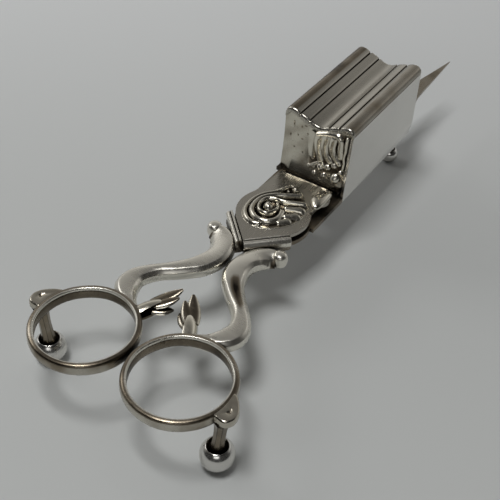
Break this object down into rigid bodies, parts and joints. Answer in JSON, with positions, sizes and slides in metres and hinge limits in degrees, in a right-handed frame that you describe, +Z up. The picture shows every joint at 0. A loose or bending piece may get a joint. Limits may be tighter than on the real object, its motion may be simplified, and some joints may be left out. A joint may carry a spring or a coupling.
{
  "type": "candle snuffer",
  "caption": "Scissor-type candle snuffer in old silver: finger rings on scroll handles, a riveted lap hinge, an open-sided snuff box closed by a pusher plate, a wick spike and ball feet.",
  "frame": {"origin": "middle of the box round the closed snuffers, on the table under the ball feet", "axes": "+X from the finger rings to the wick spike, +Y to the left hand, +Z up"},
  "size_m": [0.175, 0.06, 0.038],
  "materials": {
    "worn_silver": "worn cast silver",
    "satin_silver": "satin silver sheet with fine scratches",
    "polished_silver": "polished silver",
    "chased_silver": "cast and chased silver with dark crevices",
    "hinge_metal": "dull oxidised metal of the lap joint"
  },
  "bodies": {
    "box_arm": {"right_finger_ring": "worn_silver", "right_leaf_spur": "chased_silver", "right_foot_lug": "chased_silver", "right_foot_stem": "polished_silver", "right_foot_ball": "polished_silver", "right_scroll_handle": "worn_silver", "right_scroll_knop": "worn_silver", "right_shoulder_moulding": "worn_silver", "hinge_top_plate": "satin_silver", "shell_ornament": "chased_silver", "lobe_bead": "chased_silver", "pivot_rivet": "hinge_metal", "pivot_washer": "hinge_metal", "box_floor": "satin_silver", "box_left_wall": "satin_silver", "box_front_wall": "satin_silver", "box_far_wall": "satin_silver", "box_top": "satin_silver", "front_leaf": "chased_silver", "wick_spike": "satin_silver", "spike_foot_stem": "polished_silver", "spike_foot_ball": "polished_silver"},
    "pusher_arm": {"left_finger_ring": "worn_silver", "left_leaf_spur": "chased_silver", "left_foot_lug": "chased_silver", "left_foot_stem": "polished_silver", "left_foot_ball": "polished_silver", "left_scroll_handle": "worn_silver", "left_scroll_knop": "worn_silver", "left_shoulder_moulding": "worn_silver", "hinge_lower_plate": "hinge_metal", "pusher_plate": "polished_silver", "shear_blade": "hinge_metal"}
  },
  "joints": [
    {"name": "snuffer_hinge", "type": "hinge", "parent": "box_arm", "child": "pusher_arm", "pos_m": [-0.01443, -0.00018, 0.01695], "axis": [0, 0, -1], "range_deg": [0, 40]}
  ]
}
